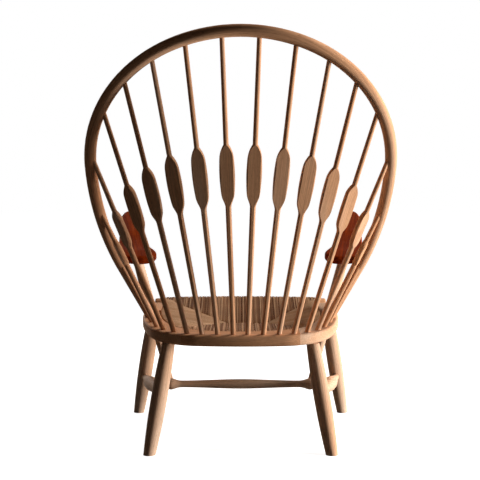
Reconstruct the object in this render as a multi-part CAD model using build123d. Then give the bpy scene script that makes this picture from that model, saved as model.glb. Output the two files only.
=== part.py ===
from build123d import *
import math
import os

# A hoop-backed armchair in turned ash, with flattened back sticks, hardwood arms and a woven cord seat.
# Z is up, the sitter faces -Y, and the sitter's left is +X. Lengths are in millimetres, angles in degrees.

# Seat frame: a horseshoe of three sawn pieces, lying in a plane that is higher at the front
seat_height = 301.7
seat_pitch = 6.0
frame_thickness = 29.0
frame_rear_y = 141.0
frame_front_y = 283.0
frame_rear_radius = 1100.0
frame_rear_turn = 5.8
frame_corner_radius = 148.0
frame_corner_turn = 64.2
frame_side_radius = 508.0
frame_edge_radius = 7.0
frame_end_radius = 15.0
frame_joint_x = 150.0
frame_tongue_length = 24.0
frame_tongue_width = 26.0
frame_tongue_thickness = 10.0

# Inner edge of the frame, with the slot that the cord passes down through
inner_rear_y = 90.0
inner_rear_radius = 330.0
inner_rear_turn = 23.0
inner_corner_radius = 107.0
inner_corner_turn = 42.0
inner_side_radius = 437.0
slot_width = 5.0

# Rails that the cord is wound on
cord_diameter = 3.2
cord_clearance = 0.5
rail_width = 20.0
rail_thickness = 20.0
rail_drop_depth = 4.0
rear_rail_x = 124.0
rail_tenon_diameter = 10.0
rail_tenon_length = 9.0
rail_dowel_diameter = 8.0
rail_dowel_grip_length = 12.0
rail_dowel_front_y = -215.0
rail_dowel_middle_y = -191.0
rail_dowel_rear_x = 62.0
front_rail_y = -363.0
front_rail_rise = 19.8
front_rail_bare_end = 30.0
front_rail_middle_diameter = 34.0
front_rail_end_diameter = 26.0
front_rail_end_radius = 5.0

# Woven seat
weave_sag_depth = 26.0
weave_belly_depth = 10.0
seam_half_length = 57.0
seam_y = -135.0

# Back hoop: steam-bent round ash in one plane, with ends that narrow towards the seat
hoop_lean = 32.8
hoop_diameter = 29.5
hoop_foot_diameter = 26.0
hoop_height = 837.5
hoop_foot_y = -87.0
hoop_crown_radius = 384.0
hoop_crown_turn = 25.0
hoop_top_radius = 357.0
hoop_top_turn = 65.0
hoop_side_radius = 825.0
hoop_side_turn = 21.6
hoop_foot_depth = 24.0

# Back sticks, with a flattened feather on all but the outermost
stick_line_inset = 20.0
stick_foot_diameter = 13.5
stick_top_diameter = 11.5
stick_neck_diameter = 14.3
stick_upper_neck_diameter = 12.6
stick_foot_depth = 14.0
feather_width = 37.5
feather_thickness = 13.0
feather_crown_thickness = 20.5
feather_face_width = 30.0
feather_turns = (0.0, 0.0, 0.0, 0.0, 1.0, 5.0, 8.0)
stick_top_shares = (0.0405, 0.1225, 0.2045, 0.2875, 0.378, 0.502, 0.647, 0.798)
stick_foot_shares = (0.0434, 0.136, 0.2295, 0.321, 0.412, 0.504, 0.592, 0.730)
feather_start_shares = (0.446, 0.445, 0.449, 0.452, 0.456, 0.471, 0.510)
feather_end_shares = (0.649, 0.654, 0.658, 0.664, 0.668, 0.680, 0.716)
feather_width_shares = (1.0, 1.0, 0.98, 0.96, 0.92, 0.84, 0.77)
feather_outline_shares = ((0.05, 0.48), (0.145, 0.763), (0.267, 0.908), (0.5, 1.0),
                          (0.73, 0.955), (0.848, 0.855), (0.93, 0.64))

# Legs: turned, thickest half way down
leg_top_diameter = 32.0
leg_middle_diameter = 41.0
leg_foot_diameter = 30.0
leg_tenon_diameter = 22.0
leg_tenon_length = 14.0
front_leg_top_x = 245.5
front_leg_top_y = -243.0
front_leg_foot_x = 298.5
front_leg_foot_y = -354.0
rear_leg_top_x = 183.5
rear_leg_top_y = 82.0
rear_leg_foot_x = 225.0
rear_leg_foot_y = 194.0

# Stretchers
side_stretcher_front_z = 112.0
side_stretcher_rear_z = 144.0
side_stretcher_middle_diameter = 38.0
stretcher_tenon_diameter = 17.0
stretcher_end_gap = 6.0
cross_neck_x = 158.0
cross_boss_x = 188.0
cross_middle_diameter = 26.0
cross_neck_diameter = 18.5
cross_boss_diameter = 31.0
cross_tenon_length = 14.0

# Arm posts
post_seat_x = 246.0
post_seat_y = -163.0
post_seat_diameter = 30.0
post_hole_diameter = 24.0
post_low_diameter = 18.0
post_arm_diameter = 25.0
post_foot_gap = 5.0
post_tenon_diameter = 16.0
post_tenon_length = 13.0

# Arms: paddles of dark hardwood that rise towards the front
arm_pitch = 21.7
arm_rear_rise = 181.0
arm_rear_y = 17.0
arm_thickness = 23.0
arm_edge_radius = 8.0
arm_dish_radius = 620.0
arm_dish_depth = 3.5
arm_dish_x = 278.0
arm_dish_y = -95.0
arm_dowel_diameter = 8.0
arm_dowel_hoop_length = 8.5
arm_dowel_grip_length = 26.0
arm_inner_x = 221.5
arm_width = 112.5
arm_rear_end_y = 29.0
arm_length = 292.0
arm_outline_shares = ((0.0, 0.075), (0.085, 0.031), (0.29, 0.0), (0.59, 0.01), (0.838, 0.055), (0.897, 0.178),
                      (0.94, 0.418), (0.983, 0.692), (1.0, 0.914), (0.872, 1.0), (0.692, 0.986),
                      (0.607, 0.88), (0.444, 0.623), (0.29, 0.418), (0.154, 0.229))

# Fits
glue_gap = 0.1
end_gap = 0.5
overrun_length = 60.0

os.makedirs("parts", exist_ok=True)


def tangent_chain(start, runs, inset):
    """Arcs that leave the start along +X and turn one way, each tangent to the last, moved in by inset."""
    point, heading, edges = Vector(start.X, start.Y - inset), Vector(1, 0), []
    for radius, turn in runs:
        arc = JernArc(point, heading, radius - inset, -turn)
        point, heading = arc @ 1, arc % 1
        edges.append(arc)
    return edges


def peg(start, end, diameter, grow=0.0, end_grow=0.0):
    """A round rod between two points, grown by a clearance all round and at both ends."""
    along = (end - start).normalized()
    axis = Plane(start - along * end_grow, z_dir=along)
    return axis * Cylinder(diameter / 2 + grow, (end - start).length + 2 * end_grow,
                           align=(Align.CENTER, Align.CENTER, Align.MIN))


def turned(axis, profile):
    """A turned piece about the Z of a plane, from curves of radius and distance that close on the axis."""
    return axis * revolve(Plane.XZ * make_face(Curve() + profile), Axis.Z)


def mirrored(shape):
    """The same shape on the other side of the chair."""
    return mirror(shape, about=Plane.YZ)


# The seat plane carries the frame, the rails and the weave; its own +Y runs back and slightly down
pitch_slope = math.tan(math.radians(seat_pitch))
seat_normal = Vector(0, math.sin(math.radians(seat_pitch)), math.cos(math.radians(seat_pitch)))
seat_plane = Plane((0, 0, seat_height), x_dir=(1, 0, 0), z_dir=seat_normal)
under_plane = seat_plane.offset(-frame_thickness)


def on_seat(x, y, depth=0.0):
    """The point over a place in plan that lies in the seat plane, or at a depth below it."""
    return Vector(x, y, seat_height - pitch_slope * y - depth / seat_normal.Z)


def frame_outer(inset=0.0):
    """Left half of the frame's outer edge, from the middle of the rear."""
    runs = ((frame_rear_radius, frame_rear_turn), (frame_corner_radius, frame_corner_turn),
            (frame_side_radius, 90.0 - frame_rear_turn - frame_corner_turn))
    return tangent_chain(Vector(0, frame_rear_y), runs, inset)


def frame_inner(inset=0.0):
    """Left half of the frame's inner edge, as far as the front of the slot."""
    runs = ((inner_rear_radius, inner_rear_turn), (inner_corner_radius, inner_corner_turn),
            (inner_side_radius, 90.0 - inner_rear_turn - inner_corner_turn))
    return tangent_chain(Vector(0, inner_rear_y), runs, inset)


slot_end = frame_inner()[-1] @ 1
cord_side_x = slot_end.X - slot_width
rail_inset = slot_width + cord_diameter + cord_clearance


def half_frame():
    """Left half of the horseshoe. Ahead of the slot its inner edge closes up on the cord."""
    outer, inner = frame_outer(), frame_inner()
    corner = outer[-1] @ 1
    lip_x = cord_side_x + cord_clearance
    front = Polyline(corner, (corner.X, -frame_front_y), (lip_x, -frame_front_y), (lip_x, slot_end.Y),
                     slot_end)
    face = make_face(Curve() + outer + front.edges() + inner + [Line((0, inner_rear_y), (0, frame_rear_y))])
    face = fillet(face.vertices().group_by(Axis.Y)[0].sort_by(Axis.X)[-1], frame_end_radius)
    bar = extrude(face, -frame_thickness)
    outside = [e for e in bar.edges().filter_by(Plane.XY) if (e @ 0.5).X > slot_end.X
               or ((e @ 0.5).X > 0 and (e @ 0.5).Y > inner_rear_y)]
    return seat_plane * fillet(outside, frame_edge_radius)


def frame_tongue(bar, grow=0.0):
    """The loose tongue's place across a frame joint, on the side's sawn face and under the stick holes."""
    face = bar.faces().sort_by(Axis.X)[0].center() - seat_normal * (stick_foot_depth / 2)
    size = (frame_tongue_length + 2 * grow, frame_tongue_width + 2 * grow, frame_tongue_thickness + 2 * grow)
    return Plane(face, x_dir=(1, 0, 0), z_dir=seat_normal) * Box(*size)


# Hoop: its plane leans back through its two feet
hoop_up = Vector(0, math.sin(math.radians(hoop_lean)), math.cos(math.radians(hoop_lean)))
hoop_origin = on_seat(0, hoop_foot_y)
hoop_plane = Plane(hoop_origin, x_dir=(1, 0, 0), z_dir=Vector(1, 0, 0).cross(hoop_up))
hoop_runs = ((hoop_crown_radius, hoop_crown_turn), (hoop_top_radius, hoop_top_turn),
             (hoop_side_radius, hoop_side_turn))
hoop_arcs = [hoop_plane * arc for arc in tangent_chain(Vector(0, hoop_height), hoop_runs, 0.0)]
hoop_bend_end, hoop_end_way = hoop_arcs[-1] @ 1, hoop_arcs[-1] % 1
hoop_straight = (hoop_bend_end - hoop_origin).dot(hoop_up) / -hoop_end_way.dot(hoop_up)
hoop_foot = hoop_bend_end + hoop_end_way * hoop_straight
hoop_bottom = hoop_foot + hoop_end_way * hoop_foot_depth
hoop_line = Wire([e.edge() for e in hoop_arcs] + [Line(hoop_bend_end, hoop_foot).edge()])


def half_hoop(grow=0.0):
    """Left half of the hoop: a round bar along the arcs, then a straight end that narrows to the foot."""
    bar, foot = hoop_diameter / 2 + grow, hoop_foot_diameter / 2 + grow
    start = Plane(hoop_arcs[0] @ 0, z_dir=hoop_arcs[0] % 0)
    tube = sweep(start * Circle(bar), path=Wire([e.edge() for e in hoop_arcs]))
    neck = hoop_straight - hoop_foot_diameter
    end = hoop_straight + hoop_foot_depth
    profile = Polyline((0, 0), (bar, 0), (foot, neck), (foot, end), (0, end), (0, 0))
    return tube + turned(Plane(hoop_bend_end, z_dir=hoop_end_way), profile.edges())


def hoop_socket():
    """The hole in the frame that takes the hoop's foot."""
    start = hoop_foot - hoop_end_way * hoop_foot_diameter
    return peg(start, hoop_bottom, hoop_foot_diameter, glue_gap, end_gap)


# Sticks: straight, from a line inside the frame's outer edge to the hoop's centre line
stick_line = Wire([e.edge() for e in frame_outer(stick_line_inset)])
stick_count = len(stick_top_shares)
stick_feet = [on_seat((stick_line @ share).X, (stick_line @ share).Y) for share in stick_foot_shares]
stick_tops = [hoop_line @ share for share in stick_top_shares]


def stick_plane(i):
    """Axis of stick i from the bottom of its hole, its X along the width of the feather."""
    along = (stick_tops[i] - stick_feet[i]).normalized()
    middles = [(foot + top) / 2 for foot, top in zip(stick_feet, stick_tops)]
    before = middles[i - 1] if i > 0 else Vector(-middles[0].X, middles[0].Y, middles[0].Z)
    after = middles[min(i + 1, stick_count - 1)]
    across = after - before
    across = (across - along * across.dot(along)).normalized()
    return Plane(stick_feet[i] - along * stick_foot_depth, x_dir=across, z_dir=along)


def stick_grip(i):
    """Length at the top of stick i that runs inside the hoop, longer where it comes in at a slant."""
    along = (stick_tops[i] - stick_feet[i]).normalized()
    slant = along.cross(hoop_line % stick_top_shares[i]).length
    return (hoop_diameter + stick_top_diameter) / 2 / slant


def feather_section(share):
    """Cross section that planes the turned bulb flat on two faces and rounds its long edges."""
    crown, flat = feather_crown_thickness / 2, feather_thickness / 2
    half_face = feather_face_width / 2 * share
    bow = (half_face ** 2 + (crown - flat) ** 2) / (2 * (crown - flat))
    upper = Pos(0, crown - bow) * Circle(bow)
    lower = Pos(0, bow - crown) * Circle(bow)
    return upper & lower & Rectangle(2 * feather_width, feather_thickness)


def stick(i):
    """A turned stick; all but the last carry a feather."""
    foot, top = stick_foot_diameter / 2, stick_top_diameter / 2
    length = stick_foot_depth + (stick_tops[i] - stick_feet[i]).length
    low, high = stick_foot_depth + stick_foot_diameter, length - stick_grip(i)
    if i == stick_count - 1:
        outline = Polyline((0, 0), (foot, 0), (foot, low), (top, high), (top, length), (0, length), (0, 0))
        return turned(stick_plane(i), outline.edges())
    reach = length - stick_foot_depth
    start = stick_foot_depth + reach * feather_start_shares[i]
    end = stick_foot_depth + reach * feather_end_shares[i]
    neck, upper_neck = stick_neck_diameter / 2, stick_upper_neck_diameter / 2
    radius = feather_width / 2 * feather_width_shares[i]
    bulb = [(radius * wide, start + (end - start) * along) for along, wide in feather_outline_shares]
    shaft = Polyline((0, 0), (foot, 0), (foot, low), (neck, start))
    feather = Spline((neck, start), *bulb, (upper_neck, end))
    tip = Polyline((upper_neck, end), (top, high), (top, length), (0, length), (0, 0))
    turning = revolve(Plane.XZ * make_face(Curve() + shaft.edges() + [feather] + tip.edges()), Axis.Z)
    planing = Rot(0, 0, -feather_turns[i]) * extrude(feather_section(feather_width_shares[i]), length)
    return stick_plane(i) * (turning & planing)


def stick_foot_hole(i):
    """The hole in the frame under stick i."""
    plane = stick_plane(i)
    start = plane.origin
    return peg(start, start + plane.z_dir * overrun_length, stick_foot_diameter, glue_gap, end_gap)


def stick_top_hole(i):
    """The hole in the hoop for stick i."""
    along = stick_plane(i).z_dir
    start = stick_tops[i] - along * (stick_grip(i) + stick_top_diameter)
    return peg(start, stick_tops[i], stick_top_diameter, glue_gap, end_gap)


def leg_points(top_x, top_y, foot_x, foot_y):
    """A leg's axis, from the floor to the underside of the frame."""
    return Vector(foot_x, foot_y, 0), on_seat(top_x, top_y, frame_thickness)


front_leg_line = leg_points(front_leg_top_x, front_leg_top_y, front_leg_foot_x, front_leg_foot_y)
rear_leg_line = leg_points(rear_leg_top_x, rear_leg_top_y, rear_leg_foot_x, rear_leg_foot_y)


def leg(line):
    """A leg turned as a long even swell, cut level at the floor and to the frame, with a tenon on top."""
    foot, top = line
    length, along = (top - foot).length, (top - foot).normalized()
    spare = leg_middle_diameter
    middle = leg_middle_diameter / 2
    low_end, high_end = [(side / 2 - middle) * ((length / 2 + spare) / (length / 2)) ** 2 + middle
                         for side in (leg_foot_diameter, leg_top_diameter)]
    swell = Spline((low_end, -spare), (middle, length / 2), (high_end, length + spare))
    ends = Polyline((high_end, length + spare), (0, length + spare), (0, -spare), (low_end, -spare))
    body = turned(Plane(foot, z_dir=along), [swell] + ends.edges())
    body = split(body, Plane.XY, keep=Keep.TOP)
    body = split(body, under_plane, keep=Keep.BOTTOM)
    return body + peg(top - along * leg_tenon_length, top + along * leg_tenon_length, leg_tenon_diameter)


def leg_socket(line):
    """The hole in the frame for a leg's tenon."""
    foot, top = line
    along = (top - foot).normalized()
    return peg(top - along * leg_tenon_length, top + along * leg_tenon_length, leg_tenon_diameter,
               glue_gap, end_gap)


def at_height(line, z):
    """The point of a line from the floor at a height."""
    low, high = line
    return low + (high - low) * (z / high.Z)


# Side stretcher: from the front leg to the rear leg, its tenons stopping short of their axes
side_front = at_height(front_leg_line, side_stretcher_front_z)
side_rear = at_height(rear_leg_line, side_stretcher_rear_z)
side_way = (side_rear - side_front).normalized()
side_middle = (side_front + side_rear) / 2
side_start = side_front + side_way * stretcher_end_gap
side_end = side_rear - side_way * stretcher_end_gap


def side_stretcher():
    """A spindle of wood with a long belly and straight ends that plug into the legs."""
    length = (side_end - side_start).length
    thin, thick = stretcher_tenon_diameter / 2, side_stretcher_middle_diameter / 2
    plug = leg_middle_diameter / 2
    lower = Polyline((0, 0), (thin, 0), (thin, plug))
    belly = Spline((thin, plug), (thick, length / 2), (thin, length - plug), tangents=((0, 1), (0, 1)))
    upper = Polyline((thin, length - plug), (thin, length), (0, length), (0, 0))
    return turned(Plane(side_start, z_dir=side_way), lower.edges() + [belly] + upper.edges())


def stretcher_sockets():
    """The holes in the legs for a side stretcher."""
    ends = ((side_start, side_start + side_way * overrun_length),
            (side_end - side_way * overrun_length, side_end))
    return [peg(a, b, stretcher_tenon_diameter, glue_gap, end_gap) for a, b in ends]


# Cross stretcher: level, between the middles of the side stretchers
cross_end_x = side_middle.X - side_stretcher_middle_diameter / 2 + cross_tenon_length
cross_boss = Vector(cross_boss_x, side_middle.Y, side_middle.Z)


def cross_stretcher():
    """A rail that swells in the middle, with a boss near each end for the foot of the arm post."""
    neck, boss, tenon = cross_neck_diameter / 2, cross_boss_diameter / 2, stretcher_tenon_diameter / 2
    shoulder_x = side_middle.X - side_stretcher_middle_diameter / 2
    side = Spline((cross_middle_diameter / 2, 0), (neck, cross_neck_x), tangents=((0, 1), (0, 1)))
    flare = Spline((neck, cross_neck_x), (boss, cross_boss_x), (tenon, shoulder_x - post_foot_gap),
                   tangents=((0, 1), (0, 1)))
    end = Polyline((tenon, shoulder_x - post_foot_gap), (tenon, cross_end_x), (0, cross_end_x), (0, 0),
                   (cross_middle_diameter / 2, 0))
    centre = Vector(0, side_middle.Y, side_middle.Z)
    half = turned(Plane(centre, x_dir=(0, 1, 0), z_dir=(1, 0, 0)), [side, flare] + end.edges())
    return half + mirrored(half)


def cross_socket():
    """The hole in the side stretcher for the cross stretcher."""
    end = Vector(cross_end_x, side_middle.Y, side_middle.Z)
    return peg(cross_boss, end, stretcher_tenon_diameter, glue_gap, end_gap)


# Arm plane: the top of the arm, rising towards the front
arm_normal = Vector(0, math.sin(math.radians(arm_pitch)), math.cos(math.radians(arm_pitch)))
arm_plane = Plane((0, arm_rear_y, seat_height + arm_rear_rise), x_dir=(1, 0, 0), z_dir=arm_normal)
arm_under = arm_plane.offset(-arm_thickness)


def meets(point, way, plane):
    """Where a line through a point crosses a plane."""
    return point + way * ((plane.origin - point).dot(plane.z_dir) / way.dot(plane.z_dir))


# Arm post: one straight turning from the cross stretcher's boss, through the frame, to the arm
post_seat = on_seat(post_seat_x, post_seat_y)
post_way = (post_seat - cross_boss).normalized()
post_start = cross_boss + post_way * post_foot_gap
post_under = meets(post_seat, post_way, under_plane)
post_top = meets(post_seat, post_way, arm_under)


def arm_post():
    """Thin at the foot, straight through the frame, thickest on top of it and thinner under the arm."""
    hole, low = post_hole_diameter / 2, post_low_diameter / 2
    to_seat, to_under = (post_seat - post_start).length, (post_under - post_start).length
    plane = Plane(post_start, z_dir=post_way)
    outline = Polyline((0, 0), (low, 0), (low, cross_boss_diameter), (hole, to_under - post_hole_diameter),
                       (hole, to_seat + post_hole_diameter), (0, to_seat + post_hole_diameter), (0, 0))
    shaft = turned(plane, outline.edges())
    seat_radius, arm_radius = post_seat_diameter / 2, post_arm_diameter / 2
    to_arm, spare = (post_top - post_start).length, post_seat_diameter
    sides = Polyline((0, to_seat - spare), (seat_radius, to_seat - spare), (seat_radius, to_seat + spare),
                     (arm_radius, to_arm), (arm_radius, to_arm + spare), (0, to_arm + spare),
                     (0, to_seat - spare))
    upper = turned(plane, sides.edges())
    upper = split(split(upper, seat_plane, keep=Keep.TOP), arm_under, keep=Keep.BOTTOM)
    tenon = peg(post_top - post_way * post_tenon_length, post_top + post_way * post_tenon_length,
                post_tenon_diameter)
    return shaft + upper + tenon


def post_hole():
    """The hole through the frame for the arm post."""
    start, end = post_under - post_way * overrun_length, post_seat + post_way * overrun_length
    return peg(start, end, post_hole_diameter, glue_gap)


def post_foot_socket():
    """The hole in the cross stretcher's boss for the foot of the arm post."""
    return peg(post_start, post_start + post_way * overrun_length, post_low_diameter, glue_gap, end_gap)


def post_tenon_socket():
    """The hole in the underside of the arm for the post's tenon."""
    return peg(post_top - post_way * post_tenon_length, post_top + post_way * post_tenon_length,
               post_tenon_diameter, glue_gap, end_gap)


# Arm dowel: from inside the hoop into the thick of the arm
arm_middle_plane = arm_plane.offset(-arm_thickness / 2)
arm_on_hoop = meets(hoop_foot, hoop_end_way, arm_middle_plane)
arm_centre = arm_plane.from_local_coords(Vector(arm_dish_x, arm_dish_y, -arm_thickness / 2))
dowel_way = (arm_centre - arm_on_hoop).normalized()
dowel_start = arm_on_hoop + dowel_way * (hoop_diameter / 2 - arm_dowel_hoop_length)
dowel_end = arm_on_hoop + dowel_way * (hoop_diameter / 2 + arm_dowel_grip_length)


def arm_blank():
    """The arm's outline sawn out, its edges rounded over and its top dished."""
    rise = math.cos(math.radians(arm_pitch))
    points = [(arm_inner_x + arm_width * u, (arm_rear_end_y - arm_rear_y - arm_length * v) / rise)
              for u, v in arm_outline_shares]
    board = extrude(make_face(Spline(*points, periodic=True)), -arm_thickness)
    board = fillet(board.edges().filter_by(Plane.XY), arm_edge_radius)
    dish = Pos(arm_dish_x, arm_dish_y, arm_dish_radius - arm_dish_depth) * Sphere(arm_dish_radius)
    return arm_plane * (board - dish)


# Front rail: turned, thickest in the middle
front_rail_centre = Vector(0, front_rail_y, seat_height + front_rail_rise)
front_rail_length = 2 * (cord_side_x + front_rail_bare_end)


def front_rail():
    """A barrel-shaped rail with rounded bare ends."""
    half, middle, end = front_rail_length / 2, front_rail_middle_diameter / 2, front_rail_end_diameter / 2
    side = ThreePointArc((end, -half), (middle, 0), (end, half))
    rest = Polyline((end, half), (0, half), (0, -half), (end, -half))
    bar = turned(Plane(front_rail_centre, x_dir=(0, 1, 0), z_dir=(1, 0, 0)), [side] + rest.edges())
    rims = [e for e in bar.edges() if abs((e @ 0.5).X) > half - end_gap]
    return fillet(rims, front_rail_end_radius)


front_local = seat_plane.to_local_coords(front_rail_centre)


def half_rails():
    """Left half of the rail that follows the slot round to the front rail."""
    outer = frame_inner(rail_inset)
    inner = frame_inner(rail_inset + rail_width)
    out_end, in_end = outer[-1] @ 1, inner[-1] @ 1
    front = Polyline(out_end, (out_end.X, front_local.Y), (in_end.X, front_local.Y), in_end)
    rear = Line(inner[0] @ 0, outer[0] @ 0)
    face = make_face(Curve() + outer + front.edges() + inner + [rear])
    return seat_plane * Pos(0, 0, -rail_drop_depth) * extrude(face, -rail_thickness)


def rail_tenon():
    """The round tenon of the side rail in the front rail."""
    x, z = slot_end.X - rail_inset - rail_width / 2, -rail_drop_depth - rail_thickness / 2
    start = seat_plane.from_local_coords(Vector(x, front_local.Y + overrun_length, z))
    end = seat_plane.from_local_coords(Vector(x, front_local.Y, z))
    return start, end


def rail_dowels():
    """Dowels that hang the rails from the frame: two at each side and one at each end of the rear rail."""
    depth = -rail_drop_depth - rail_thickness / 2
    pegs = []
    for y in (rail_dowel_front_y, rail_dowel_middle_y):
        start = Vector(slot_end.X - rail_inset - rail_dowel_grip_length, y, depth)
        end = Vector(slot_end.X + rail_dowel_grip_length, y, depth)
        pegs.append((start, end))
    start = Vector(rail_dowel_rear_x, inner_rear_y - rail_inset - rail_dowel_grip_length, depth)
    pegs.append((start, Vector(rail_dowel_rear_x, inner_rear_y + rail_dowel_grip_length, depth)))
    return [(seat_plane.from_local_coords(a), seat_plane.from_local_coords(b)) for a, b in pegs]


def hip(corners, ridge):
    """A closed block on four base corners that slopes up or down to a short ridge."""
    a, b, c, d = corners
    e, f = ridge
    rings = ((a, b, c, d), (a, b, f, e), (b, c, f), (c, d, e, f), (d, a, e))
    return Solid(Shell([Face(Wire.make_polygon([Vector(*p) for p in ring])) for ring in rings]))


def cord_seat():
    """The woven seat as one body: rounded over the front rail, sagging to the seam in the middle."""
    outer = frame_inner(slot_width)
    tail = outer[-1] @ 1
    far = front_local.Y - front_rail_middle_diameter
    front = Polyline(tail, (tail.X, far), (0, far), outer[0] @ 0)
    plan = make_face(Curve() + outer + front.edges())
    roll = front_rail_middle_diameter / 2 + cord_diameter
    y, z = front_local.Y, front_local.Z
    top, deep = cord_diameter - rail_drop_depth, rail_drop_depth + rail_thickness + cord_diameter
    nose = ThreePointArc((y, z - roll), (y - roll, z), (y, z + roll))
    back = Polyline((y, z + roll), (inner_rear_y, top), (inner_rear_y, -deep), (y, z - roll))
    block = extrude(Plane.YZ * make_face(Curve() + [nose] + back.edges()), tail.X)
    half = block & (Pos(0, 0, -overrun_length) * extrude(plan, 2 * overrun_length))
    front_x, rear_x = tail.X - rail_width / 2, rear_rail_x + rail_width
    rear_y = inner_rear_y - rail_inset - rail_width
    seam = seam_half_length
    base = [(-front_x, y, 0), (front_x, y, 0), (rear_x, rear_y, 0), (-rear_x, rear_y, 0)]
    valley = hip(base, [(-seam, seam_y, -weave_sag_depth), (seam, seam_y, -weave_sag_depth)])
    depth, short_x, short_y = -rail_drop_depth - rail_thickness / 2, rear_x - rail_width, rear_y - rail_width
    lower = [(-front_x, y, depth), (front_x, y, depth), (short_x, short_y, depth), (-short_x, short_y, depth)]
    low = -deep - weave_belly_depth
    belly = hip(lower, [(-seam, seam_y, low), (seam, seam_y, low)])
    return seat_plane * (half + mirrored(half) + belly - valley)


def cut(shape, tools):
    """The shape with every tool taken out of it."""
    for tool in tools:
        shape = shape - tool
    return shape


def both(shapes):
    """Shapes on the left, and their mirror images."""
    return shapes + [mirrored(shape) for shape in shapes]


def write(name, shape):
    """One named part to its own file."""
    export_step(shape, os.path.join("parts", name + ".step"))


def write_pair(name, shape):
    """A left part and its mirror image, each to its own file."""
    write(name + "_left", shape)
    write(name + "_right", mirrored(shape))


def frame_pieces(holes):
    """The rear piece and the left piece of the horseshoe, joined by a tongue."""
    bar = half_frame()
    joint = Plane.YZ.offset(frame_joint_x)
    side = split(bar, joint, keep=Keep.TOP)
    rear = split(bar, joint, keep=Keep.BOTTOM)
    rear = rear - frame_tongue(side, glue_gap)
    side = side + frame_tongue(side)
    return cut(rear + mirrored(rear), both(holes)), cut(side, holes)


def rail_pieces(front, dowels):
    """The rear weaving rail and the left one, coped to the front rail."""
    bar = half_rails()
    joint = Plane.YZ.offset(rear_rail_x)
    side = split(bar, joint, keep=Keep.TOP) - front
    rear = split(bar, joint, keep=Keep.BOTTOM)
    start, end = rail_tenon()
    reach = front_rail_middle_diameter / 2 - rail_tenon_length
    tenon = peg(start, end + (start - end).normalized() * reach, rail_tenon_diameter)
    return cut(rear + mirrored(rear), both(dowels)), cut(side + tenon, dowels)


def main():
    """Builds every piece, cuts the holes that join them and writes them out."""
    sticks = [stick(i) for i in range(stick_count)]
    stick_feet_holes = [stick_foot_hole(i) for i in range(stick_count)]
    stick_top_holes = [stick_top_hole(i) for i in range(stick_count)]
    dowel_pegs = [peg(a, b, rail_dowel_diameter) for a, b in rail_dowels()]
    dowel_holes = [peg(a, b, rail_dowel_diameter, glue_gap, end_gap) for a, b in rail_dowels()]
    arm_dowel_hole = peg(dowel_start, dowel_end, arm_dowel_diameter, glue_gap, end_gap)

    half = half_hoop()
    hoop = cut(half + mirrored(half), both(stick_top_holes + [arm_dowel_hole]))
    write("back_hoop", hoop)
    for i, shape in enumerate(sticks):
        write_pair(f"back_stick_{i + 1}", shape)

    holes = stick_feet_holes + dowel_holes + [hoop_socket(), post_hole(), leg_socket(front_leg_line),
                                              leg_socket(rear_leg_line)]
    rear, side = frame_pieces(holes)
    write("seat_frame_rear", rear)
    write_pair("seat_frame", side)

    bare_front = front_rail()
    rear_rail, side_rail = rail_pieces(bare_front, dowel_holes)
    start, end = rail_tenon()
    reach = front_rail_middle_diameter / 2 - rail_tenon_length
    tenon_hole = peg(start, end + (start - end).normalized() * reach, rail_tenon_diameter, glue_gap, end_gap)
    write("front_rail", cut(bare_front, both([tenon_hole])))
    write("weaving_rail_rear", rear_rail)
    write_pair("weaving_rail", side_rail)
    write("rail_dowels", Compound(children=both(dowel_pegs)))
    half_seat = split(cord_seat(), Plane.YZ, keep=Keep.TOP)
    half_seat = cut(half_seat, [bare_front, rear_rail, side_rail] + dowel_pegs)
    write("cord_seat", half_seat + mirrored(half_seat))

    stretcher_front, stretcher_rear = stretcher_sockets()
    write_pair("front_leg", leg(front_leg_line) - stretcher_front)
    write_pair("rear_leg", leg(rear_leg_line) - stretcher_rear)
    write_pair("side_stretcher", side_stretcher() - cross_socket())
    write("cross_stretcher", cut(cross_stretcher(), both([post_foot_socket()])))

    write_pair("arm_post", arm_post())
    write_pair("armrest", cut(arm_blank(), [half_hoop(glue_gap), arm_dowel_hole, post_tenon_socket()]))
    write_pair("arm_dowel", peg(dowel_start, dowel_end, arm_dowel_diameter))


main()
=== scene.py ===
import bpy
import math
import numpy as np
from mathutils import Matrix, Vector


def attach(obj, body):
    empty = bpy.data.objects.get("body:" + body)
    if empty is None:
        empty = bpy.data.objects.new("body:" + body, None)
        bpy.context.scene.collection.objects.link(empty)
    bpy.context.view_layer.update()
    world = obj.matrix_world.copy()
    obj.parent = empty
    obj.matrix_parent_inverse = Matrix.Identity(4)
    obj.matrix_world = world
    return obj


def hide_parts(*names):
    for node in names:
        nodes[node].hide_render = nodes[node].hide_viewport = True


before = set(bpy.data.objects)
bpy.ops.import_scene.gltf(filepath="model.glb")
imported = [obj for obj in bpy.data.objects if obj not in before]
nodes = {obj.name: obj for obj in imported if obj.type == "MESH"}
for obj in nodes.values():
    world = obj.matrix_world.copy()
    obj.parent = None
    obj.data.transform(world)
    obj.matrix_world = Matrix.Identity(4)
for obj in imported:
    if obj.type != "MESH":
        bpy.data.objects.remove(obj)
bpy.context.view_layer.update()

# Camera: behind the chair, at about the eye height of a person on the next chair, looking slightly down.
# A long lens three metres away gives the photograph's small difference between near and far legs.
camera_data = bpy.data.cameras.new("eye_behind_the_chair")
camera_data.sensor_width = 36.0
camera_data.lens = 86.4
camera = bpy.data.objects.new("eye_behind_the_chair", camera_data)
bpy.context.scene.collection.objects.link(camera)
look_down = math.radians(2.45)
look = Vector((0, -math.cos(look_down), -math.sin(look_down)))
camera.location = (0.0015, 3.007, 0.650)
camera.rotation_euler = look.to_track_quat("-Z", "Y").to_euler()
bpy.context.scene.camera = camera

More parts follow.
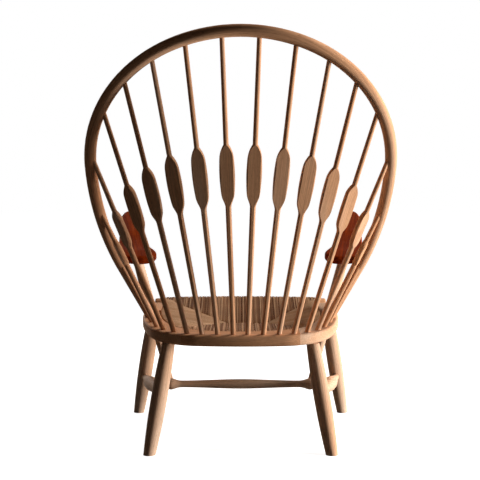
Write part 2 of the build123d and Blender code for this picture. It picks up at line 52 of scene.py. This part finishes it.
# Back hoop: one round bar of straight-grained ash, steamed and bent round a form, then scraped and oiled.
# Its rings bend with it, so the grain is read along two arcs and not across the chair.
hoop_lean = math.radians(32.8)
hoop_up = (0.0, math.sin(hoop_lean), math.cos(hoop_lean))
hoop_back = (0.0, math.cos(hoop_lean), -math.sin(hoop_lean))
hoop_base = (0.0, -0.087, 0.3108)
hoop_height = 0.8375
top_bend_radius = 0.3655
side_bend_radius = 0.790
top_bend_turn = math.radians(89.3)
hoop_pith = (0.021, 0.013, 0.0)
oiled_wood_ior = 1.45
ash_shine = 0.02


def linear(code):
    """The linear colour of an sRGB hex code: each part c is c / 12.92 or ((c + 0.055) / 1.055) ** 2.4."""
    parts = [int(code[i:i + 2], 16) / 255 for i in (1, 3, 5)]
    return tuple(p / 12.92 if p <= 0.04045 else ((p + 0.055) / 1.055) ** 2.4 for p in parts) + (1.0,)


def add(tree, kind, *values, output=0, stops=(), **named):
    """Adds a node and returns one of its outputs. Values go to its sockets in order. A name with a capital
    is a socket's and any other is a setting's. Stops are a ramp's pairs of a place and an sRGB hex code."""
    node = tree.nodes.new("ShaderNode" + kind)
    sockets = dict(enumerate(values))
    for name, value in named.items():
        if name[0].isupper():
            sockets[name] = value
        else:
            setattr(node, name, value)
    for socket, value in sockets.items():
        if isinstance(value, bpy.types.NodeSocket):
            tree.links.new(value, node.inputs[socket])
        else:
            node.inputs[socket].default_value = value
    while stops and len(node.color_ramp.elements) < len(stops):
        node.color_ramp.elements.new(1.0)
    for count, (place, code) in enumerate(stops):
        point = node.color_ramp.elements[count]
        point.position, point.color = place, linear(code)
    return node.outputs[output]


def new_finish(name):
    """An empty finish: its material, node tree, surface shader and Object coordinates."""
    material = bpy.data.materials.new(name)
    material.use_nodes = True
    tree = material.node_tree
    return material, tree, tree.nodes["Principled BSDF"], add(tree, "TexCoord", output="Object")


def oiled_ash(tree, shader, grain, paler):
    """Ash over grain coordinates in metres, whose Z runs along the fibres and whose XY origin is the pith.
    Paler moves the whole piece along the ramp from its darkest to its palest wood.

    Ash is ring-porous: each year starts with a band of open pores that show as short dark streaks, and
    ends in dense pale wood. Rings are about 2.6 mm apart, pores 0.4 mm wide and 9 mm long.
    """
    rings_per_metre, ring_sway = 385.0, 0.016
    slow, fibre, pore = (
        add(tree, "TexNoise", Scale=1.0, Detail=detail, output="Fac",
            Vector=add(tree, "VectorMath", grain, per_metre, operation="MULTIPLY"))
        for per_metre, detail in (((22.0, 22.0, 2.2), 2.0), ((420.0, 420.0, 9.0), 3.0),
                                  ((1500.0, 1500.0, 95.0), 1.0)))
    flat = add(tree, "VectorMath", grain, (1.0, 1.0, 0.0), operation="MULTIPLY")
    reach = add(tree, "VectorMath", flat, operation="LENGTH", output="Value")
    swayed = add(tree, "Math", slow, ring_sway, reach, operation="MULTIPLY_ADD")
    years = add(tree, "Math", swayed, rings_per_metre, operation="MULTIPLY")
    year = add(tree, "Math", years, operation="FRACT")
    ring = add(tree, "ValToRGB", year, stops=((0.0, "#FFFFFF"), (0.30, "#B8B8B8"), (0.55, "#101010"),
                                              (0.93, "#000000"), (1.0, "#FFFFFF")))
    open_pores = add(tree, "ValToRGB", pore, stops=((0.52, "#000000"), (0.66, "#FFFFFF")))
    early_wood = add(tree, "Math", ring, 0.8, 0.2, operation="MULTIPLY_ADD")
    pores = add(tree, "Math", open_pores, early_wood, operation="MULTIPLY")

    wood = add(tree, "ValToRGB", add(tree, "Math", slow, paler, operation="ADD"),
               stops=((0.0, "#BC8258"), (0.50, "#E2AB82"), (1.0, "#EACBB0")))
    for mask, strength, code in ((ring, 0.26, "#9E6A48"), (pores, 0.45, "#6B4026")):
        share = add(tree, "Math", mask, strength, operation="MULTIPLY")
        wood = add(tree, "Mix", Factor=share, A=wood, B=linear(code), data_type="RGBA", output="Result")
    tone = add(tree, "ValToRGB", fibre, stops=((0.30, "#E0E0E0"), (0.70, "#FFFFFF")))
    wood = add(tree, "Mix", Factor=1.0, A=wood, B=tone, data_type="RGBA", blend_type="MULTIPLY",
               output="Result")
    tree.links.new(wood, shader.inputs["Base Color"])

    rough = add(tree, "Math", fibre, 0.12, 0.52, operation="MULTIPLY_ADD")
    rough = add(tree, "Math", pores, 0.16, rough, operation="MULTIPLY_ADD")
    tree.links.new(rough, shader.inputs["Roughness"])
    relief = add(tree, "Math", ring, -0.35, operation="MULTIPLY")
    relief = add(tree, "Math", pores, -1.0, relief, operation="MULTIPLY_ADD")
    bump = add(tree, "Bump", Strength=0.5, Distance=0.00012, Height=relief)
    tree.links.new(bump, shader.inputs["Normal"])
    shader.inputs["IOR"].default_value = oiled_wood_ior
    shader.inputs["Specular IOR Level"].default_value = ash_shine


def bent_grain(tree, place):
    """Grain coordinates of the bent bar: distance from the arc's centre line, distance from the hoop's
    plane, and length along the arc, signed by the side of the chair."""
    off = add(tree, "VectorMath", place, hoop_base, operation="SUBTRACT")
    across = add(tree, "SeparateXYZ", off)
    up, back = (add(tree, "VectorMath", off, way, operation="DOT_PRODUCT", output="Value")
                for way in (hoop_up, hoop_back))
    side = add(tree, "Math", across, operation="SIGN")
    out = add(tree, "Math", across, operation="ABSOLUTE")
    top_up = hoop_height - top_bend_radius
    side_out = (top_bend_radius - side_bend_radius) * math.sin(top_bend_turn)
    side_up = top_up + (top_bend_radius - side_bend_radius) * math.cos(top_bend_turn)
    flat = add(tree, "CombineXYZ", out, up)
    ways = []
    for centre, radius, spare in (((0.0, top_up, 0.0), top_bend_radius, 0.0),
                                  ((side_out, side_up, 0.0), side_bend_radius,
                                   (top_bend_radius - side_bend_radius) * top_bend_turn)):
        from_centre = add(tree, "VectorMath", flat, centre, operation="SUBTRACT")
        parts = add(tree, "SeparateXYZ", from_centre).node.outputs
        reach = add(tree, "VectorMath", from_centre, operation="LENGTH", output="Value")
        radial = add(tree, "Math", reach, radius, operation="SUBTRACT")
        angle = add(tree, "Math", parts[0], parts[1], operation="ARCTAN2")
        length = add(tree, "Math", angle, radius, spare, operation="MULTIPLY_ADD")
        length = add(tree, "Math", length, side, operation="MULTIPLY")
        ways.append(add(tree, "CombineXYZ", radial, back, length))
    lower = add(tree, "Math", up, top_up, operation="LESS_THAN")
    grain = add(tree, "Mix", Factor=lower, A=ways[0], B=ways[1], data_type="VECTOR", output="Result")
    return add(tree, "VectorMath", grain, hoop_pith, operation="ADD")


bent_ash, tree, shader, place = new_finish("oiled_ash_bent")
oiled_ash(tree, shader, bent_grain(tree, place), 0.0)
nodes["back_hoop"].material_slots[0].material = bent_ash

# Back sticks: sixteen turned sticks of ash, fourteen with a bulb planed flat into a feather.
# Each is split from its own billet, so its grain runs along it and no two show the same rings.
chance = np.random.default_rng(17)
stick_pith = 0.025


def straight_grain(tree, place, name, pith):
    """Grain coordinates of a straight piece: its longest direction, the first principal axis of its
    vertices, is turned to Z, and the pith lies at the given distance beside its middle."""
    mesh = nodes[name].data
    points = np.empty(len(mesh.vertices) * 3)
    mesh.vertices.foreach_get("co", points)
    points = points.reshape(-1, 3)
    middle = points.mean(axis=0)
    along = Vector(np.linalg.svd(points - middle, full_matrices=False)[2][0])
    if along.z < 0:
        along.negate()
    turn = along.rotation_difference(Vector((0, 0, 1)))
    angle = chance.uniform(0, 2 * math.pi)
    shift = Vector((pith * math.cos(angle), pith * math.sin(angle), chance.uniform(-0.5, 0.5)))
    return add(tree, "Mapping", Vector=place, Location=shift - turn @ Vector(middle),
               Rotation=turn.to_euler("XYZ"), vector_type="POINT")


def make_of_ash(name, pith, paler=0.0):
    """Gives a CAD piece its own billet of ash, some a little darker or paler than others."""
    material, tree, shader, place = new_finish("oiled_ash_" + name)
    oiled_ash(tree, shader, straight_grain(tree, place, name, pith), paler)
    nodes[name].material_slots[0].material = material


for hand in ("left", "right"):
    for count in range(1, 9):
        make_of_ash(f"back_stick_{count}_{hand}", stick_pith)

# Seat frame: three sawn pieces of ash joined into a horseshoe by hidden tongues, with rounded edges.
# Boards for it are flat-sawn, so the pith is farther off and the rings make long arches.
frame_pith = 0.060
for name, paler in (("seat_frame_rear", -0.15), ("seat_frame_left", 0.0), ("seat_frame_right", 0.25)):
    make_of_ash(name, frame_pith, paler)

# Legs, stretchers and arm posts: turned in ash from squared billets and plugged into each other.
# They are the palest wood on the chair.
billet_pith, billet_paler = 0.032, 0.30
for name in ("cross_stretcher", "front_leg_left", "front_leg_right", "rear_leg_left", "rear_leg_right",
             "side_stretcher_left", "side_stretcher_right", "arm_post_left", "arm_post_right"):
    make_of_ash(name, billet_pith, billet_paler)

# Rails and dowels: the front rail is a turned barrel with bare rounded ends.
# The weaving rails and their dowels are planed ash, hidden by the cord.
rail_pith = 0.040
for name in ("front_rail", "weaving_rail_left", "weaving_rail_right", "weaving_rail_rear", "rail_dowels",
             "arm_dowel_left", "arm_dowel_right"):
    make_of_ash(name, rail_pith)

# Arms: paddles of oiled teak, sawn and dished, a deep red-brown with darker straight streaks.
# The oil fills teak's fine pores, so the surface is smoother than the ash.
teak_pith = 0.070
teak_shine = 0.01


def oiled_teak(tree, shader, grain):
    """Teak: near-straight streaks 3 mm and 12 mm apart, drawn from noise stretched along the fibres, and
    pores 0.3 mm wide and 6 mm long."""
    broad, fine, pore = (
        add(tree, "TexNoise", Scale=1.0, Detail=detail, output="Fac",
            Vector=add(tree, "VectorMath", grain, per_metre, operation="MULTIPLY"))
        for per_metre, detail in (((85.0, 85.0, 3.0), 2.0), ((330.0, 330.0, 7.0), 3.0),
                                  ((1900.0, 1900.0, 120.0), 1.0)))
    streak = add(tree, "Math", fine, 0.4, operation="MULTIPLY")
    streak = add(tree, "Math", broad, 0.6, streak, operation="MULTIPLY_ADD")
    wood = add(tree, "ValToRGB", streak, stops=((0.32, "#4C1706"), (0.46, "#752A0A"), (0.58, "#8E360E"),
                                                (0.70, "#A84716")))
    pores = add(tree, "ValToRGB", pore, stops=((0.54, "#000000"), (0.66, "#FFFFFF")))
    share = add(tree, "Math", pores, 0.4, operation="MULTIPLY")
    wood = add(tree, "Mix", Factor=share, A=wood, B=linear("#35150A"), data_type="RGBA", output="Result")
    tree.links.new(wood, shader.inputs["Base Color"])
    rough = add(tree, "Math", pores, 0.15, 0.46, operation="MULTIPLY_ADD")
    tree.links.new(rough, shader.inputs["Roughness"])
    bump = add(tree, "Bump", Strength=0.4, Distance=0.0001, Height=pores, invert=True)
    tree.links.new(bump, shader.inputs["Normal"])
    shader.inputs["Specular IOR Level"].default_value = teak_shine


for name in ("armrest_left", "armrest_right"):
    material, tree, shader, place = new_finish("oiled_teak_" + name)
    oiled_teak(tree, shader, straight_grain(tree, place, name, teak_pith))
    nodes[name].material_slots[0].material = material

# Woven seat: twisted paper cord wound round the four rails in an envelope weave.
# Cords of the front and rear run from rail to seam along the chair, those of the sides across it.
# The seam's middle part lies off the chair's centre, 37 mm to the left and 71 mm to the right.
seat_tilt = math.radians(6.0)
seat_origin = np.array((0.0, 0.0, 0.3017))
seat_axes = np.array(((1.0, 0.0, 0.0), (0.0, math.cos(seat_tilt), -math.sin(seat_tilt)),
                      (0.0, math.sin(seat_tilt), math.cos(seat_tilt))))
cord_radius = 0.0016
cord_pitch = 0.0032
wound = 0.00165
rail_top, rail_under = -0.004, -0.024
rail_set_in = 0.0087
rail_wide = 0.020
rear_edge_y, front_edge_y = 0.090, -0.400
edge_arcs = ((0.330, 23.0), (0.107, 42.0), (0.437, 25.0))
arc_points = 80
barrel_y, barrel_z = -0.36308, -0.01825
barrel_radius, barrel_taper, barrel_half = 0.0170, 0.0040, 0.250
seam_left, seam_right, seam_y = 0.037, 0.071, -0.135
seam_top, seam_low = -0.0277, -0.0355
seam_gap = 0.0013
front_seam_y = -0.343


def inner_edge(inset):
    """x and y along the frame's inner edge, moved in by inset: three tangent arcs that turn from across
    the chair to along it, then a straight run to the front."""
    x, y, heading, xs, ys = 0.0, rear_edge_y - inset, 0.0, [], []
    for radius, turn in edge_arcs:
        bend = radius - inset
        angle = heading + np.radians(turn) * np.linspace(0.0, 1.0, arc_points)
        xs.append(x + bend * (np.sin(angle) - math.sin(heading)))
        ys.append(y + bend * (np.cos(angle) - math.cos(heading)))
        x, y, heading = xs[-1][-1], ys[-1][-1], angle[-1]
    return np.append(np.concatenate(xs), x), np.append(np.concatenate(ys), front_edge_y)


# The weave's rear corner is where the line of the cords runs at 45 degrees.
cord_line, rail_line = inner_edge(rail_set_in - wound), inner_edge(rail_set_in)
inside_line = inner_edge(rail_set_in + rail_wide + wound)
curved = slice(0, len(edge_arcs) * arc_points - 1)
corner = np.argmin(np.abs(np.gradient(cord_line[1][curved]) + np.gradient(cord_line[0][curved])))
corner_x, corner_y = cord_line[0][corner], cord_line[1][corner]
front_x = cord_line[0][-1]


def front_seam(x):
    """Seam of the front cords at each x: their share of the way to the middle, the seam's y, the bend's
    radius round the barrel, and the heights of the upper and lower cords at the seam."""
    wide = np.abs(x)
    share = np.clip((front_x - wide) / (front_x - np.where(x > 0, seam_left, seam_right)), 0.0, 1.0)
    seam = front_seam_y + (seam_y - front_seam_y) * share - seam_gap
    bend = barrel_radius - barrel_taper * (wide / barrel_half) ** 2 + wound
    top = (barrel_z + bend) * (1 - share) + seam_top * share
    low = (barrel_z - bend) * (1 - share) + seam_low * share
    return share, seam, bend, top, low


def rail_path(seam, top, low, arc_t, arc_z, share):
    """Joins the turns round a rail to both seams by straight runs of five points. At the seam each cord
    dives between the layers, by 3 mm or 35% of their distance, except in the weave's corners."""
    dive = np.where(share > 0.12, 1.0, 0.0)[:, None] * np.minimum(0.003, (top - low) * 0.35)[:, None]
    way = np.sign(seam - arc_t[:, 0])[:, None]
    near = np.array((0.0004, 0.0008, 0.0022))[None, :]
    drop = np.array((1.0, 0.35, 0.0))[None, :] * dive
    run = np.linspace(0.0, 1.0, 7)[None, 1:-1]
    dip_t = seam[:, None] - way * near
    low_t = dip_t[:, -1:] + (arc_t[:, :1] - dip_t[:, -1:]) * run
    low_z = low[:, None] + (arc_z[:, :1] - low[:, None]) * run
    top_t = arc_t[:, -1:] + (dip_t[:, -1:] - arc_t[:, -1:]) * run
    top_z = arc_z[:, -1:] + (top[:, None] - arc_z[:, -1:]) * run
    t = np.hstack((dip_t, low_t, arc_t, top_t, dip_t[:, ::-1]))
    z = np.hstack((low[:, None] + drop, low_z, arc_z, top_z, (top[:, None] - drop)[:, ::-1]))
    return t, z


def front_path(x):
    """Cords round the front rail at each x, as y and z: up from the lower seam, round the barrel by its
    angle, and straight down over the top to the upper seam."""
    share, seam, bend, top, low = front_seam(x)
    slope = np.arctan2(barrel_z + bend - top, seam - barrel_y)
    angle = np.linspace(0.0, 1.0, 15)[None, :] * (math.pi + slope)[:, None] - math.pi / 2
    arc_y = barrel_y - bend[:, None] * np.cos(angle)
    arc_z = barrel_z + bend[:, None] * np.sin(angle)
    return rail_path(seam, top, low, arc_y, arc_z, share)


def rear_seam(x):
    """Seam of the rear cords at each x: their share of the way to the middle, and the seam's y."""
    share = np.clip((corner_x - np.abs(x)) / (corner_x - np.where(x > 0, seam_left, seam_right)), 0.0, 1.0)
    return share, corner_y + (seam_y - corner_y) * share + seam_gap


def side_seam(y, seam_end):
    """Seam of the side cords at each y: their share of the way to the seam's end, and the seam's x."""
    share = np.where(y < seam_y, (y - front_seam_y) / (seam_y - front_seam_y),
                     (corner_y - y) / (corner_y - seam_y))
    return share, np.where(y < seam_y, front_x, corner_x) * (1 - share) + seam_end * share + seam_gap


def square_ends(share):
    """Heights of the upper and lower cords at the seam, where they were wound on a square rail."""
    return ((rail_top + wound) * (1 - share) + seam_top * share,
            (rail_under - wound) * (1 - share) + seam_low * share)


def square_path(seam, share, inside, rail, outside):
    """Cords round a square rail, in distance out and z: flat over the rail, rounded at its outer edges by
    a quarter of an ellipse, and straight to both seams."""
    top, low = square_ends(share)
    quarter = np.linspace(0.0, math.pi / 2, 5)[None, :]
    inside = np.maximum(inside, seam + 0.003)[:, None]
    reach = (outside - rail)[:, None]
    rail = rail[:, None]
    t = np.hstack((inside, rail + reach * np.sin(quarter), rail + reach * np.cos(quarter), inside))
    z = np.hstack((inside * 0 + rail_under - wound, rail_under - wound * np.cos(quarter) + inside * 0,
                   rail_top + wound * np.sin(quarter) + inside * 0, inside * 0 + rail_top + wound))
    return rail_path(seam, top, low, t, z, share)


def tubes(paths, across, chance):
    """Vertices, quads and caps of round cords: centre + radius (cos a normal + sin a across), where the
    normal is the path's tangent crossed with across. U counts cords and turns, V is length in cm."""
    sides, uneven, uv_margin = 8, 0.04, 0.02
    angle = np.arange(sides) / sides * 2 * math.pi
    turns = uv_margin + (1 - 2 * uv_margin) * np.arange(sides + 1)[None, None, :] / sides
    points, quads, caps, square_uv, cap_uv, start, strand = [], [], [], [], [], 0, 0
    for centre in paths:
        n, m = centre.shape[:2]
        tangent = np.gradient(centre, axis=1)
        tangent /= np.linalg.norm(tangent, axis=2, keepdims=True)
        normal = np.cross(tangent, across)
        normal /= np.linalg.norm(normal, axis=2, keepdims=True)
        size = cord_radius * (1 + uneven * chance.standard_normal((n, 1, 1, 1)).clip(-2, 0))
        ring = (np.cos(angle)[None, None, :, None] * normal[:, :, None, :]
                + np.sin(angle)[None, None, :, None] * np.asarray(across, float)[None, None, None, :])
        points.append((centre[:, :, None, :] + size * ring).reshape(-1, 3))
        index = np.arange(n * m * sides).reshape(n, m, sides) + start
        following = np.roll(index, -1, axis=2)
        quads.append(np.stack((index[:, :-1], following[:, :-1], following[:, 1:], index[:, 1:]),
                              axis=-1).reshape(-1, 4))
        caps.append(np.vstack((index[:, 0, ::-1], index[:, -1, :])))
        length = np.zeros((n, m))
        length[:, 1:] = np.cumsum(np.linalg.norm(np.diff(centre, axis=1), axis=2), axis=1) * 100
        u, v = np.broadcast_arrays((strand + np.arange(n))[:, None, None] + turns, length[:, :, None])
        uv = np.stack((u, v), axis=-1)
        square_uv.append(np.stack((uv[:, :-1, :-1], uv[:, :-1, 1:], uv[:, 1:, 1:], uv[:, 1:, :-1]),
                                  axis=3).reshape(-1, 2))
        cap_uv.append(np.vstack((uv[:, 0, :-1][:, ::-1], uv[:, -1, :-1])).reshape(-1, 2))
        start, strand = start + n * m * sides, strand + n
    return (np.concatenate(points), np.concatenate(quads), np.concatenate(caps),
            np.concatenate(square_uv + cap_uv))


def weave(name, paths, across, material, seed, gathered):
    """One part of the weave as a mesh, its seat-plane points turned into the chair's frame. Bunches of
    about three cords are gathered: each cord moves that share of its way to the middle of its bunch, and
    sinks by up to 11 mm times that share."""
    chance = np.random.default_rng(seed)
    new_bunch, stray, sink = 0.3, 0.10, 0.006
    loose = []
    for path in paths:
        place = np.arange(path.shape[0])
        bunch = np.cumsum(chance.random(path.shape[0]) < new_bunch)
        middle = (np.bincount(bunch, place) / np.maximum(np.bincount(bunch), 1))[bunch]
        push = gathered * (middle - place) + stray * chance.standard_normal(path.shape[0]).clip(-1.5, 1.5)
        push = (cord_pitch * push)[:, None, None]
        lift = sink * gathered * chance.standard_normal((path.shape[0], 1, 1)).clip(-1.8, 0.0)
        loose.append(path + push * np.asarray(across, float) + lift * np.array((0.0, 0.0, 1.0)))
    points, quads, caps, uv = tubes(loose, across, chance)
    mesh = bpy.data.meshes.new(name)
    mesh.from_pydata((seat_origin + points @ seat_axes).tolist(), [], quads.tolist() + caps.tolist())
    mesh.uv_layers.new(name="cord").data.foreach_set("uv", uv.ravel())
    mesh.polygons.foreach_set("use_smooth", np.ones(len(mesh.polygons), bool))
    piece = bpy.data.objects.new(name, mesh)
    bpy.context.scene.collection.objects.link(piece)
    piece.data.materials.append(material)
    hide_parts("cord_seat")
    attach(piece, "root")


def spread(t, z, still, order):
    """Puts distance out, height and the cord's own place into x, y and z."""
    still = np.broadcast_to(still[:, None], t.shape)
    return np.stack({"y": (still, t, z), "x": (t, still, z)}[order], axis=-1)


def around_pegs(path, place, pegs):
    """Splits the cords that meet a peg in the slot: their first and last 13 points stop under and over it."""
    peg_reach, kept = 0.0060, 13
    meets = np.min(np.abs(place[:, None] - np.asarray(pegs)[None, :]), axis=1) < peg_reach
    return [path[~meets], path[meets][:, :kept], path[meets][:, -kept:]]


def paper_cord(name, tones):
    """Three plies of brown kraft paper twisted hard, with a dull waxed face. Each cord has its own tone;
    the twist is 4 mm from ply to ply and shows as slanting grooves."""
    material, tree, shader, place = new_finish(name)
    plies, plies_per_cm, cord_shine = 3.0, 2.5, 0.02
    turn, length = add(tree, "SeparateXYZ", add(tree, "UVMap", uv_map="cord")).node.outputs[:2]
    cord_number = add(tree, "Math", turn, operation="FLOOR")
    own = add(tree, "TexWhiteNoise", W=cord_number, noise_dimensions="1D", output="Value")
    ply = add(tree, "Math", length, plies_per_cm, operation="MULTIPLY")
    ply = add(tree, "Math", turn, plies, ply, operation="MULTIPLY_ADD")
    ply = add(tree, "Math", add(tree, "Math", ply, operation="FRACT"), 0.5, operation="SUBTRACT")
    groove = add(tree, "ValToRGB", add(tree, "Math", ply, operation="ABSOLUTE"),
                 stops=((0.0, "#FFFFFF"), (0.34, "#D0D0D0"), (0.5, "#000000")))
    crease, patch = (add(tree, "TexNoise", Vector=place, Scale=per_metre, Detail=2.0, output="Fac")
                     for per_metre in (900.0, 9.0))
    # The twist's grooves are darkened by up to half towards #6B4A35: painted shade in the grooves, besides
    # their bump.
    groove_painted_shade = add(tree, "Math", groove, -0.5, 0.5, operation="MULTIPLY_ADD")
    paper = add(tree, "Mix", Factor=groove_painted_shade, A=add(tree, "ValToRGB", own, stops=tones), B=linear("#6B4A35"),
                data_type="RGBA", output="Result")
    shade = add(tree, "Math", crease, 0.4, operation="MULTIPLY")
    shade = add(tree, "Math", patch, 0.6, shade, operation="MULTIPLY_ADD")
    shade = add(tree, "ValToRGB", shade, stops=((0.35, "#DCDCDC"), (0.65, "#FFFFFF")))
    paper = add(tree, "Mix", Factor=1.0, A=paper, B=shade, data_type="RGBA", blend_type="MULTIPLY",
                output="Result")
    tree.links.new(paper, shader.inputs["Base Color"])
    rough = add(tree, "Math", crease, 0.2, 0.60, operation="MULTIPLY_ADD")
    tree.links.new(rough, shader.inputs["Roughness"])
    height = add(tree, "Math", crease, 0.2, groove, operation="MULTIPLY_ADD")
    bump = add(tree, "Bump", Strength=0.8, Distance=0.00035, Height=height)
    tree.links.new(bump, shader.inputs["Normal"])
    shader.inputs["Specular IOR Level"].default_value = cord_shine
    return material


# Two copies of one cord. The darker one goes over the front and rear rails and inside the weave. It has a
# wider spread of tone from cord to cord, which is painted shade for the streaks the cords cast on each other
# under the low side lamp. The paler one over the sides is painted light, for where the lamp runs along the
# cords.
painted_shade_cord = paper_cord("twisted_paper_cord_painted_shade", ((0.0, "#714B31"), (0.45, "#B08260"), (1.0, "#EABE96")))
painted_light_cord = paper_cord("twisted_paper_cord_painted_light", ((0.0, "#CFA27C"), (1.0, "#EAC4A0")))
along_x, along_y = (1.0, 0.0, 0.0), (0.0, 1.0, 0.0)
end_gathered, side_gathered = 0.10, 0.03
rear_pegs, side_pegs = (0.062,), (-0.215, -0.191)

count = int(2 * front_x / cord_pitch)
x = (np.arange(count) - (count - 1) / 2) * (2 * front_x / count)
t, z = front_path(x)
weave("weave_front", [spread(t, z, x, "y")], along_x, painted_shade_cord, 3, end_gathered)

count = int(2 * corner_x / cord_pitch)
x = (np.arange(count) - (count - 1) / 2) * (2 * corner_x / count)
share, seam = rear_seam(x)
t, z = square_path(seam, share, *(np.interp(np.abs(x), *line)
                                  for line in (inside_line, rail_line, cord_line)))
rear = around_pegs(spread(t, z, x, "y"), np.abs(x), rear_pegs)
weave("weave_rear", rear, along_x, painted_shade_cord, 4, end_gathered)

count = int((corner_y - front_seam_y) / cord_pitch)
y = front_seam_y + (np.arange(count) + 0.5) * ((corner_y - front_seam_y) / count)
for hand, way, seam_end in (("left", 1.0, seam_left), ("right", -1.0, seam_right)):
    share, seam = side_seam(y, seam_end)
    t, z = square_path(seam, share, *(np.interp(y, line[1][::-1], line[0][::-1])
                                      for line in (inside_line, rail_line, cord_line)))
    side = around_pegs(spread(way * t, z, y, "x"), y, side_pegs)
    weave("weave_" + hand, side, along_y, painted_light_cord, 5, side_gathered)


def layers(x, y, top, low, rail_over, rail_below, run):
    """The two layers of cords inside the weave: a pitch under the upper cords and a pitch over the lower
    ones, whose heights run straight from the seam to the rail."""
    heights = top + (rail_over - top) * run - cord_pitch, low + (rail_below - low) * run + cord_pitch
    return [np.stack(np.broadcast_arrays(x, y, z), axis=-1) for z in heights]


# Inside the weave each cord crosses from one seam to the other: the side cords under the front and rear
# ones, and the front and rear cords under the side ones. They show where the outer cords stand apart.
way_over = np.linspace(0.0, 1.0, 21)[None, :]
off_seam, off_rail, off_middle = 0.003, 0.002, 0.001
y = np.arange(front_seam_y + off_seam, seam_y - off_middle, cord_pitch)[:, None]
x_left, x_right = (side_seam(y, end)[1] - off_rail for end in (seam_left, seam_right))
x = (x_left + x_right) * way_over - x_right
share, seam, bend, top, low = front_seam(x)
crossing = layers(x, y, top, low, barrel_z + bend, barrel_z - bend,
                  np.clip((seam - y) / (seam - barrel_y), 0.0, 1.0))
y = np.arange(seam_y + off_middle, inside_line[1][0] - off_rail, cord_pitch)[:, None]
clear = np.interp(-y, -inside_line[1], inside_line[0]) - off_rail
x_left, x_right = (np.minimum(np.where(y < corner_y, side_seam(y, end)[1] - off_rail, clear), clear)
                   for end in (seam_left, seam_right))
x = (x_left + x_right) * way_over - x_right
share, seam = rear_seam(x)
inside = np.interp(np.abs(x), *inside_line)
crossing += layers(x, y, *square_ends(share), rail_top + wound, rail_under - wound,
                   np.clip((y - seam) / (inside - seam), 0.0, 1.0))
weave("weave_inside_crosswise", crossing, along_y, painted_shade_cord, 6, 0.0)

lengthwise = []
for way, seam_end in ((1.0, seam_left), (-1.0, seam_right)):
    x = np.arange(seam_end + off_rail, inside_line[0][-1] - off_rail, cord_pitch)[:, None]
    first = front_seam(way * x)[1] + off_seam
    last = np.minimum(rear_seam(way * x)[1] - off_seam, np.interp(x, *inside_line) - off_rail)
    y = first + (last - first) * way_over
    share, seam = side_seam(y, seam_end)
    inside = np.interp(y, inside_line[1][::-1], inside_line[0][::-1])
    lengthwise += layers(way * x, y, *square_ends(share), rail_top + wound, rail_under - wound,
                         np.clip((x - seam) / (inside - seam), 0.0, 1.0))
weave("weave_inside_lengthwise", lengthwise, along_x, painted_shade_cord, 7, 0.0)

# Studio: a plain floor that is white to the camera and keeps a soft shadow, in a dim room. The main lamp is
# low on the sitter's right, slightly behind the chair; a high one and a weak one in front fill its shade.


def background_ray(tree):
    """One for a ray that shows the background: from the camera, or by way of a mirror or glass."""
    seen = add(tree, "LightPath").node.outputs
    bent = add(tree, "Math", seen["Is Glossy Ray"], seen["Is Transmission Ray"], operation="MAXIMUM")
    return add(tree, "Math", seen["Is Camera Ray"], bent, operation="MAXIMUM")


floor_half = 30
floor_mesh = bpy.data.meshes.new("studio_floor")
floor_mesh.from_pydata([(-floor_half, -floor_half, 0), (floor_half, -floor_half, 0),
                        (floor_half, floor_half, 0), (-floor_half, floor_half, 0)], [], [(0, 1, 2, 3)])
floor = bpy.data.objects.new("studio_floor", floor_mesh)
bpy.context.scene.collection.objects.link(floor)
matt_floor, tree, shader, place = new_finish("matt_studio_floor")
shader.inputs["Base Color"].default_value = linear("#4C4844")
shader.inputs["Roughness"].default_value = 0.9
# The floor glows a little under white near the chair, so that the shadow there shows, and white from 2.2 m.
far = add(tree, "VectorMath", place, operation="LENGTH", output="Value")
glow = add(tree, "Emission", Color=(1.0, 1.0, 1.0, 1.0),
           Strength=add(tree, "MapRange", far, 0.7, 2.2, 0.90, 1.0))
both = add(tree, "AddShader", glow, add(tree, "BsdfDiffuse", Color=linear("#D8D8D8")))
mixed = add(tree, "MixShader", background_ray(tree), shader.outputs[0], both)
tree.links.new(mixed, tree.nodes["Material Output"].inputs["Surface"])
floor_mesh.materials.append(matt_floor)

room_light = 0.01
room = bpy.data.worlds.new("dim_room")
bpy.context.scene.world = room
room.use_nodes = True
tree = room.node_tree
plain = background_ray(tree)
strength = add(tree, "Math", plain, 1.0 - room_light, room_light, operation="MULTIPLY_ADD")
tint = add(tree, "Mix", Factor=plain, A=linear("#FFC090"), B=linear("#FFFFFF"), data_type="RGBA",
           output="Result")
tree.links.new(strength, tree.nodes["Background"].inputs["Strength"])
tree.links.new(tint, tree.nodes["Background"].inputs["Color"])


def lamp(name, place, aim, size, power, code):
    """A square soft lamp at a place, turned towards its aim."""
    data = bpy.data.lights.new(name, "AREA")
    data.shape, data.size, data.energy, data.color = "SQUARE", size, power, linear(code)[:3]
    thing = bpy.data.objects.new(name, data)
    thing.location = place
    thing.rotation_euler = (Vector(aim) - Vector(place)).to_track_quat("-Z", "Y").to_euler()
    thing.visible_camera = False
    bpy.context.scene.collection.objects.link(thing)


lamp("side_lamp", (-3.10, 0.48, 0.36), (0, 0.05, 0.45), 0.6, 165.0, "#FFFDFA")
lamp("top_lamp", (-1.3, -0.3, 2.2), (0, 0, 0.35), 0.8, 34.0, "#FFF8F0")
lamp("front_lamp", (1.2, -2.6, 1.2), (0, 0, 0.5), 1.2, 36.0, "#FFF8F0")

bpy.context.scene.view_settings.view_transform = "Standard"
